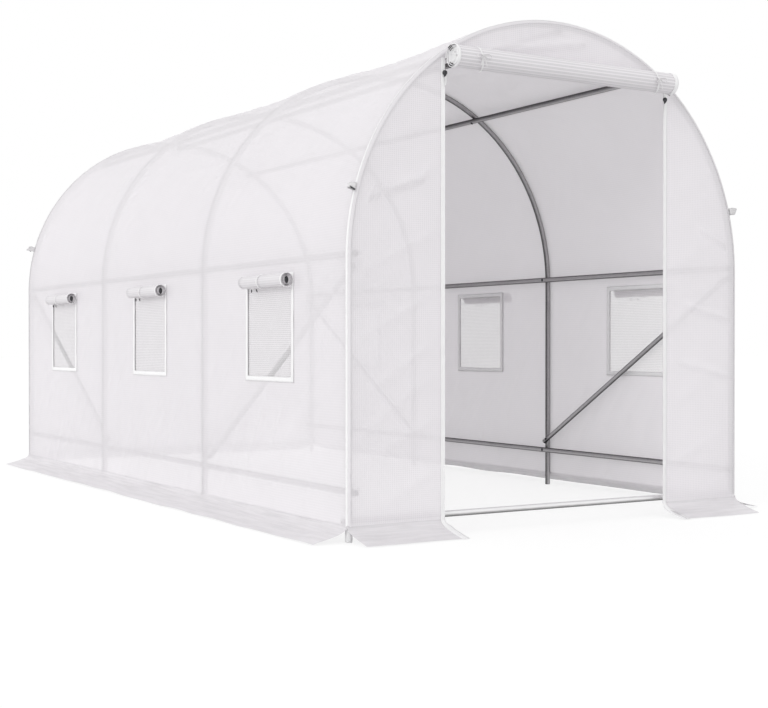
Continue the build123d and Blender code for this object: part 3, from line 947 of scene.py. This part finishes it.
class TUNNEL_OT_windows(bpy.types.Operator):
    """Nets, taped and lined window edges, and rolled flaps with hems, ties and toggles, three a side"""
    bl_idname = "tunnel.windows"
    bl_label = "Windows"

    def execute(self, context):
        look, rolls = context.scene.tunnel_cover, context.scene.tunnel_rolls
        half, margin = float(NET_HIGH[1]) - WINDOW_YS[2], look.net_margin
        low, high = float(NET_LOW[2]), float(NET_HIGH[2])
        net_gap, lining_gap = 0.0012, 0.0016
        net_x = SHEET_R - FILM_DEPTH / 2 - net_gap
        for side, sign in SIDES.items():
            edges, linings, trims = [], [], []
            for i, y in enumerate(WINDOW_YS):
                self.netting(side, sign, i, half, low, high, net_x)
                opening = (y, half - margin, low + margin, high - margin)
                edges.append(self.binding(*opening, sign, look.binding, i))
                linings.append(self.binding(*opening, sign, look.binding, i, net_x - lining_gap))
                trims.append(self.flap(side, sign, i, rolls))
            ties, hems, toggles, painted_shade_cores = ([made for trim in trims for made in trim[k]] for k in range(4))
            strips = [("edges", edges, 0.0012, 0.0), ("linings", linings, 0.0008, 0.0),
                      ("ties", ties, 0.0009, 1.0), ("roll_hems", hems, 0.001, -1.0)]
            for name, shells, thick, inward in strips:
                piece(f"window_{name}_{side}", shells, tape("white"), thick=thick, inward=inward)
            # The dark core tubes are painted shade of the rolls' hollow middles.
            for name, shells in (("toggles", toggles), ("roll_cores", painted_shade_cores)):
                piece(f"window_{name}_{side}", shells, dark())
        return {"FINISHED"}

    def netting(self, side, sign, i, half, low, high, net_x):
        """Net behind a window: a flat sheet with a faint drift."""
        y, step, drift = WINDOW_YS[i], 0.03, 0.0008
        yy, zz = np.meshgrid(stops([y - half, y + half], step), stops([low, high], step), indexing="ij")
        points = np.stack([sign * (net_x + drift * ripple(yy, zz, 91 + i, 0.15)), yy, zz], -1)
        made = shell(points, np.stack([yy, zz], -1), flip=sign < 0)
        sheet = piece(f"window_net_{side}_{BAYS[i]}", [made], net(), [f"window_nets_{side}"])
        2 * half

    def flap(self, side, sign, i, rolls):
        """Rolled flap, fuller and lower than the frame's roll. Gives its ties, hems, toggles and dark core
        tube, painted shade of the roll's hollow middle.
        """
        fuller, lower, pressed, lean = 1.03, 0.011, 0.7, 0.2
        radius = float(FLAP_HIGH[2] - FLAP_LOW[2]) / 2 * fuller
        z = float(FLAP_HIGH[2] + FLAP_LOW[2]) / 2 - lower
        half = float(FLAP_HIGH[1]) - FLAP_YS[2]
        centre = (sign * (HALF_WIDTH + radius), FLAP_YS[i], z)
        wind = {"half": half, "centre": centre, "look": rolls, "seed": 101 + 7 * i + (sign > 0), "flutes": 13,
                "start": math.pi if sign > 0 else 0.0, "spin": -sign, "axis": 1}
        rolled, inner = scroll(radius + FLAP_LAYERS["film"], (rolls.flap_loose, rolls.flap_tight),
                               rolls.flap_length, sunk=0.008, pressed=pressed, lean=-sign * lean, **wind)
        hem_step, hem_turns = 0.001, 1.1
        hem = scroll(radius + FLAP_LAYERS["hem"], (hem_step, hem_step), TURN * radius * hem_turns,
                     trim=(-1, rolls.hem / half - 1), **wind)[0]
        # Dark tube in the roll's middle: painted shade of its deep hollow.
        core_inset = 0.012
        run = np.linspace(-1, 1, 9)[:, None] * [0, half - core_inset, 0]
        middle = np.array(centre) - [sign * lean * (radius - inner), 0, 0]
        points, faces, uv = tube(middle + run, (0, 0, 1), inner * 0.99, lip=0.001)
        narrow = [1 - pressed * (1 - inner / radius), 1, 1]
        core = middle + (points - middle) * narrow, faces, uv
        flap = piece(f"window_roll_{side}_{BAYS[i]}", [rolled], film("flap"),
                     [f"window_rolls_{side}"], thick=0.0007, inward=-1.0)
        2 * half
        tied = FLAP_YS[i] + FLAP_TIE["place"]
        tie = tie_round((centre[0], tied, z), radius + FLAP_LAYERS["tie"], rolls.tie, FLAP_TIE["slack"],
                        FLAP_TIE[side], axis_x=False)
        toggles = []
        toggle_out, toggle_up, toggle_length = 0.006, 0.001, 0.014
        for shift, slant in FLAP_TOGGLES:
            top = np.array([centre[0] + sign * toggle_out, tied + shift, z - radius + toggle_up])
            line = top + np.linspace(0, 1, len(TOGGLE_RADII))[:, None] * [0, slant, -toggle_length]
            toggles.append(tube(line, (1, 0, 0), TOGGLE_RADII, sides=12))
        return [tie], [hem], toggles, [core]

    def binding(self, y, half, low, high, sign, width, seed, lining=None):
        """Frame of tape: points on the opening's edge, moved out by up to the width with mitred corners.

        It lies on the film's folds, or flat at the lining's distance from the middle, facing in."""
        q = np.linspace(-1, 1, 17)[:-1]
        one = np.ones_like(q)
        ring = np.concatenate([np.stack(p, 1) for p in ((q, -one), (one, q), (-q, one), (-one, -q))])
        ring = np.concatenate([ring, ring[:1]])
        centre, size = np.array([y, (low + high) / 2]), np.array([half, (high - low) / 2])
        over, bulge, gap = 0.001, 0.0006, 0.0008
        w = np.linspace(-over, width, 4)
        flat = centre + ring[:, None] * (size + w[None, :, None])
        depth = 0.0011 + 0.0007 * ripple(flat[..., 0], flat[..., 1], 111 + seed, 0.12)
        crown = bulge * np.sin(math.pi * (w - w[0]) / (w[-1] - w[0]))[None, :]
        girth = flat[..., 1] - FOOT if sign < 0 else GIRTH - (flat[..., 1] - FOOT)
        under = film_offset(flat[..., 0], girth, bpy.context.scene.tunnel_cover)
        x = sign * (SHEET_R + gap + under.clip(0) + depth + crown)
        if lining:
            x = sign * (lining - depth - crown)
        around = np.r_[0, np.cumsum(np.linalg.norm(np.diff(ring * size, axis=0), axis=1))]
        uv = np.stack(np.meshgrid(around, w, indexing="ij"), -1)
        return shell(np.stack([x, flat[..., 0], flat[..., 1]], -1), uv, flip=(sign > 0) != bool(lining))


def quadratic(start, pull, end, t):
    """Curve that leaves the start towards the pull and reaches the end from it."""
    return (1 - t) ** 2 * start + 2 * t * (1 - t) * pull + t**2 * end


# Door roll: what is added to its radius for its film, zip tape, ties and knots, where the ties' knots sit and
# how far left of them the ties start, and the angles where a tie starts, its knot sits and it ends
DOOR_LAYERS = {"film": -0.0016, "tape": -0.001, "tie": 0.0012, "knot": 0.003}
DOOR_TIES = [(-0.458, 0.06), (0.444, 0.055)]
TIE_START, TIE_KNOT, TIE_END = 0.22 * math.pi, 0.97 * math.pi, 1.55 * math.pi
TOOTH = [(0, 0.0038), (0.0013, 0.0028), (0.0019, 0.0), (0.0013, -0.0028), (0, -0.0038)]
KNOT = [(0, 0.0055), (0.0036, 0.0045), (0.0058, 0.001), (0.0055, -0.002), (0, -0.003)]


class TUNNEL_OT_door(bpy.types.Operator):
    """Door film wound into a roll over the doorway, with zip tape and teeth at both ends, and ties with a bow
    each; the teeth's dark and the grey of each bow are painted shade
    """
    bl_idname = "tunnel.door"
    bl_label = "Rolled door"

    def execute(self, context):
        rolls = context.scene.tunnel_rolls
        radius = float(ROLL_HIGH[2] - DOOR_TOP)
        centre = (0.0, float(ROLL_LOW[1] + ROLL_HIGH[1]) / 2, DOOR_TOP)
        half, lean = float(ROLL_HIGH[0]), -0.5
        wind = {"steps": (rolls.door_loose, rolls.door_tight), "wound": rolls.door_length, "centre": centre,
                "look": rolls, "seed": 121, "flutes": 25, "sunk": 0.006, "loose": 1.6, "lean": lean}
        inset, knot_shift = 0.004, 0.004
        rolled = scroll(radius + DOOR_LAYERS["film"], half=half - inset, **wind)[0]
        door = piece("door_roll_film", [rolled], film("roll"), ["door_roll"])
        bands = [scroll(radius + DOOR_LAYERS["tape"], half=half, trim=ends, **wind)[0]
                 for ends in ((-1, rolls.band / half / 2 - 1), (1 - rolls.band / half, 1))]
        zip_bands = piece("door_roll_tape", bands, tape("white"), thick=0.0021, inward=-1.0)
        # Zip teeth, dark as painted shade of the deep gaps between the roll's turns.
        piece("door_roll_teeth", self.teeth(radius, centre, half, lean), dark())
        ties, painted_shade_bows = [], []
        out = np.array([0, math.cos(TIE_KNOT), math.sin(TIE_KNOT)])
        for tied, slack in DOOR_TIES:
            ties += self.tie(tied, slack, radius + DOOR_LAYERS["tie"], centre, rolls.tie)
            knot = np.array([tied + knot_shift, *centre[1:]]) + out * (radius + DOOR_LAYERS["knot"])
            painted_shade_bows += bow(knot, out, (1, 0, 0), size=0.034, width=rolls.tie * 0.8)
            painted_shade_bows += turned(KNOT, [knot], [out], sides=12)
        piece("door_ties", ties, tape("white"))
        # The bow is the ties' own white tape; the grey webbing finish on it is painted shade.
        piece("door_bows", painted_shade_bows, tape("grey"))
        return {"FINISHED"}

    def teeth(self, radius, centre, half, lean):
        """Three teeth above and three below on each of three turns, at both ends of the roll; their dark is
        painted shade of the deep gaps between the turns.
        """
        bearing, pitch, shares = 1.12, 0.0078, (0.92, 0.77, 0.62)
        places, ways = [], []
        for r in (radius * share for share in shares):
            for b in np.concatenate([sign * (bearing + np.arange(-1, 2) * pitch / r) for sign in (-1, 1)]):
                for sign in SIDES.values():
                    places.append([sign * (half - 0.0005), centre[1] + r * math.cos(b) + lean * (radius - r),
                                   centre[2] + r * math.sin(b)])
                    ways.append([0, -math.sin(b), math.cos(b)])
        return turned(TOOTH, places, ways, sides=10)

    def tie(self, tied, slack, radius, centre, width):
        """Tape round the roll, and the end of it that hangs from the wall above and meets it at the back."""
        x, y, z = centre
        top = np.array([tied - slack, y + radius * math.cos(TIE_START), z + radius * math.sin(TIE_START)])
        wall = np.array([tied - slack - 0.012, -SHEET_END - TAPE_GAP, top[2] + 0.035])
        pull = wall * [1, 1, 0] + top * [0, 0, 1] + [0.004, 0, 0.006]
        drop = quadratic(wall, pull, top, np.linspace(0, 1, 9)[:, None])
        return [tie_round((x + tied, y, z), radius, width, slack, (TIE_START, TIE_END)),
                ribbon(drop, (1, 0, 0), width)]


SLIDER = [(0, 0.0095), (0.0058, 0.0085), (0.0092, 0.0055), (0.01, 0.0), (0.0088, -0.003), (0, -0.004)]


class TUNNEL_OT_zips(bpy.types.Operator):
    """Zip tapes down the doorway's sides and over the skirt edges, with their coils, sliders and pulls"""
    bl_idname = "tunnel.zips"
    bl_label = "Zips"

    def execute(self, context):
        width = float(node_box("zip_tapes")[1][0]) - DOOR_HALF
        top, head = float(ROLL_LOW[2]), float(node_box("zip_tapes")[1][2])
        face = -SHEET_END - TAPE_GAP
        z = stops([FOOT + 0.002, head], 0.03)[::-1]
        hung = np.stack([np.full(len(z), face), z], 1)
        foot = skirt_line(np.linspace(0, 1, 15), SKIRT_REACH)[1:]
        laid = np.stack([face - foot[:, 0] * 0.985, foot[:, 1] + TAPE_GAP], 1)
        run = np.concatenate([hung, laid])
        coil_gap, coil_proud, coil_foot, coil_top = 0.0012, 0.0004, 0.004, 0.066
        slider_gap, slider_drop, lap, spread_over = 0.003, 0.012, 0.001, 0.03
        tapes, coils, metal = [], [], []
        for sign in SIDES.values():
            drift = 0.0006 * ripple(run[:, 1], run[:, 0], 141 + sign, 0.3)
            spread = width * 0.8 * smooth(-run[:, :1], -face, -face + spread_over)
            line = np.column_stack([sign * (DOOR_HALF + width / 2 - lap) + drift, run])
            line = line - spread * [sign / 2, 0, 0]
            tapes.append(ribbon(line, (sign, 0, 0), width + spread, 4))
            coils.append(self.coil(sign * (DOOR_HALF + coil_gap), face - coil_proud, FOOT + coil_foot,
                                   top - coil_top))
            place = np.array([sign * (DOOR_HALF + slider_gap), face, top - slider_drop])
            metal += self.slider(place)
            coils.append(self.pull(place))
        piece("zip_tape_strips", tapes, tape("white"), ["zip_tapes"], thick=0.0013, inward=0.0)
        piece("zip_coils", coils, tape("white"))
        piece("zip_sliders", metal, dark(), sharp=50)
        return {"FINISHED"}

    def coil(self, x, y, low, high):
        """Upright bead, wide and narrow in turn at 320 places."""
        count, radius, wave = 320, 0.0017, 0.0004
        line = np.stack([np.full(count, x), np.full(count, y), np.linspace(low, high, count)], 1)
        radii = radius + wave * np.cos(np.arange(count) * math.pi)
        return tube(line, (0, 1, 0), radii, sides=8, lip=0.0004)

    def slider(self, place):
        """Domed body with a nose that runs down over it."""
        nose = place + [[0, -0.005, 0.006], [0, -0.006, -0.004], [0, -0.005, -0.017]]
        return [*turned(SLIDER, [place + [0, -0.004, 0]], [[0, -1, 0]], sides=18),
                tube(nose, (1, 0, 0), [0.0052, 0.0066, 0.0036], sides=14)]

    def pull(self, place):
        """Tape that hangs from the slider."""
        t = np.linspace(0, 1, 11)
        line = place + np.stack([0.003 * np.sin(3 * t), 0.003 * t - 0.009, -0.014 - 0.034 * t], 1)
        return ribbon(line, (1, 0.15, 0), 0.0065)


class TUNNEL_OT_guy_loops(bpy.types.Operator):
    """Folded webbing loops that stand out from the end seams, each with its toggle"""
    bl_idname = "tunnel.guy_loops"
    bl_label = "Guy loops"

    def execute(self, context):
        low, high = node_box("guy_loops")
        depth, width, wider, sunk = 0.016, 0.027, 0.008, 0.0012
        stands, uneven, droop, twist, lean = 0.036, 0.006, 0.006, 0.8, 0.2
        toggle_length, toggle_depth, toggle_out = 0.011, 0.022, 0.85
        toggle_radii = [0.0022, *[0.0034] * 7, 0.0024]
        rise = math.asin(((low[2] + high[2]) / 2 - SPRING) / HALF_WIDTH * 0.985)
        level = np.array([0, 1.0, 0])
        t = np.linspace(-1, 1, 41)[:, None]
        share = 1 - np.abs(t) ** 2.6
        bands, toggles = [], []
        for end in ENDS.values():
            for sign in SIDES.values():
                out = np.array([sign * math.cos(rise), 0, math.sin(rise)])
                up = np.array([-sign * math.sin(rise), 0, math.cos(rise)])
                reach = stands - uneven * sign * end
                seat = [0, 0, SPRING] + out * (HALF_WIDTH - sunk)
                seat = seat + level * end * (HALF_LENGTH - depth / 2 - 0.001)
                roll = twist * sign * end * share
                upper = up * np.cos(roll) + level * np.sin(roll)
                across = level * np.cos(roll) - up * np.sin(roll)
                line = seat + out * share * reach - up * droop * share**2 + across * depth / 2 * t
                wide = width + wider * (sign > 0) * share
                bands.append(ribbon(line, upper - lean * share * out, wide, columns=3))
                tip = -upper[len(upper) // 2]
                along = np.linspace(0, 1, 9)[:, None] * (tip * toggle_length - out * toggle_depth)
                bar = seat + out * reach * toggle_out + tip * toggle_length + along
                toggles.append(tube(bar, np.cross(tip, out), toggle_radii, sides=12, lip=0.0008))
        piece("guy_loop_bands", bands, tape("grey"), ["guy_loops"], thick=0.0018, inward=0.0)
        piece("guy_loop_toggles", toggles, dark())
        return {"FINISHED"}


class TUNNEL_OT_stage(bpy.types.Operator):
    """Pale floor, white surroundings, soft light and the camera"""
    bl_idname = "tunnel.stage"
    bl_label = "Stage"

    def execute(self, context):
        scene = context.scene
        self.camera(scene)
        self.floor(scene)
        self.world(scene)
        self.lamp(scene, toward=(-0.85, -0.36, 0.36), strength=0.74, spread=28)
        self.panel(scene, place=(-4.6, 3.6, 2.7), toward=(-0.9, 1.6, 0.9), size=2.5, strength=10.0)
        scene.view_settings.view_transform = "Standard"
        return {"FINISHED"}

    def put(self, scene, name, data, turn, place=(0, 0, 0)):
        """Object in the scene that holds the data."""
        made = bpy.data.objects.new(name, data)
        made.location, made.rotation_euler = place, turn
        scene.collection.objects.link(made)
        return made

    def camera(self, scene):
        """Lens, place and turn that give the photograph's view: 31 degrees to the left of the front end."""
        data = bpy.data.cameras.new("camera")
        data.sensor_width, data.lens = 36.0, 64.41
        data.clip_start, data.clip_end = 0.05, 400
        down, heading = 0.388, -31.19
        turn = Euler((math.radians(90 - down), 0, math.radians(heading)))
        scene.camera = self.put(scene, "camera", data, turn, (-3.527, -6.4386, 0.739))

    def lamp(self, scene, toward, strength, spread):
        """Soft sun from the direction given; its spread is in degrees."""
        data = bpy.data.lights.new("key", "SUN")
        data.energy, data.angle = strength, math.radians(spread)
        self.put(scene, "key", data, Vector(toward).to_track_quat("Z", "Y").to_euler())

    def panel(self, scene, place, toward, size, strength):
        """Square soft light that fades along the tunnel from its rear."""
        data = bpy.data.lights.new("panel", "AREA")
        data.size, data.energy = size, strength
        turn = (Vector(place) - Vector(toward)).to_track_quat("Z", "Y").to_euler()
        self.put(scene, "panel", data, turn, place)

    def floor(self, scene):
        """Pale floor that takes the light, and looks nearly white from the camera."""
        grid = np.linspace(-60, 60, 3)
        xx, yy = np.meshgrid(grid, grid, indexing="ij")
        made = shell(np.stack([xx, yy, np.zeros_like(xx)], -1))
        mesh = bpy.data.meshes.new("floor")
        mesh.from_pydata(made[0].tolist(), [], made[1].tolist())
        floor = bpy.data.objects.new("floor", mesh)
        scene.collection.objects.link(floor)
        f = Finish("pale_floor")
        lit = f.node("ShaderNodeBsdfDiffuse", {}, {"Color": (*scene.tunnel_colours.floor, 1)})
        seen = f.node("ShaderNodeEmission", {}, {"Color": (1, 1, 1, 1), "Strength": 1.12})
        mesh.materials.append(f.close(f.mix(seen_rays(f) * 0.7, lit, seen)))

    def world(self, scene):
        """White surroundings, a little dimmer as light than as they look."""
        scene.world = scene.world or bpy.data.worlds.new("surroundings")
        f = Finish("surroundings", scene.world)
        light = f.node("ShaderNodeBackground", {}, {"Color": (1, 1, 1, 1), "Strength": 0.9})
        seen = f.node("ShaderNodeBackground", {}, {"Color": (1, 1, 1, 1), "Strength": 1.0})
        f.close(f.mix(seen_rays(f), light, seen), "ShaderNodeOutputWorld")


def seen_rays(f):
    """1 for rays from the camera, off gloss or through glass, which see plain white."""
    rays = [f.node("ShaderNodeLightPath", output=name)
            for name in ("Is Camera Ray", "Is Glossy Ray", "Is Transmission Ray")]
    return (rays[0] + rays[1] + rays[2]).within()


STEPS = [TUNNEL_OT_stage, TUNNEL_OT_hoops, TUNNEL_OT_bars, TUNNEL_OT_bolts, TUNNEL_OT_cover, TUNNEL_OT_ends,
         TUNNEL_OT_corners, TUNNEL_OT_skirts, TUNNEL_OT_windows, TUNNEL_OT_door, TUNNEL_OT_zips,
         TUNNEL_OT_guy_loops]
GROUPS = {"tunnel_cover": TunnelCover, "tunnel_rolls": TunnelRolls, "tunnel_film": TunnelFilm,
          "tunnel_colours": TunnelColours}


class TUNNEL_PT_panel(bpy.types.Panel):
    """Sizes, colours and pieces of the polytunnel"""
    bl_idname = "TUNNEL_PT_panel"
    bl_label = "Polytunnel"
    bl_space_type, bl_region_type, bl_category = "VIEW_3D", "UI", "Tunnel"

    def draw(self, context):
        for key, group in GROUPS.items():
            box = self.layout.box()
            for name in group.__annotations__:
                box.prop(getattr(context.scene, key), name)
        for step in STEPS:
            self.layout.operator(step.bl_idname)


def register():
    for made in (*GROUPS.values(), *STEPS, TUNNEL_PT_panel):
        bpy.utils.register_class(made)
    for key, group in GROUPS.items():
        setattr(bpy.types.Scene, key, bpy.props.PointerProperty(type=group))


def unregister():
    for key in GROUPS:
        delattr(bpy.types.Scene, key)
    for made in (TUNNEL_PT_panel, *reversed(STEPS), *reversed(GROUPS.values())):
        bpy.utils.unregister_class(made)


def main():
    register()
    for step in STEPS:
        group, name = step.bl_idname.split(".")
        getattr(getattr(bpy.ops, group), name)()


if __name__ == "__main__":
    main()
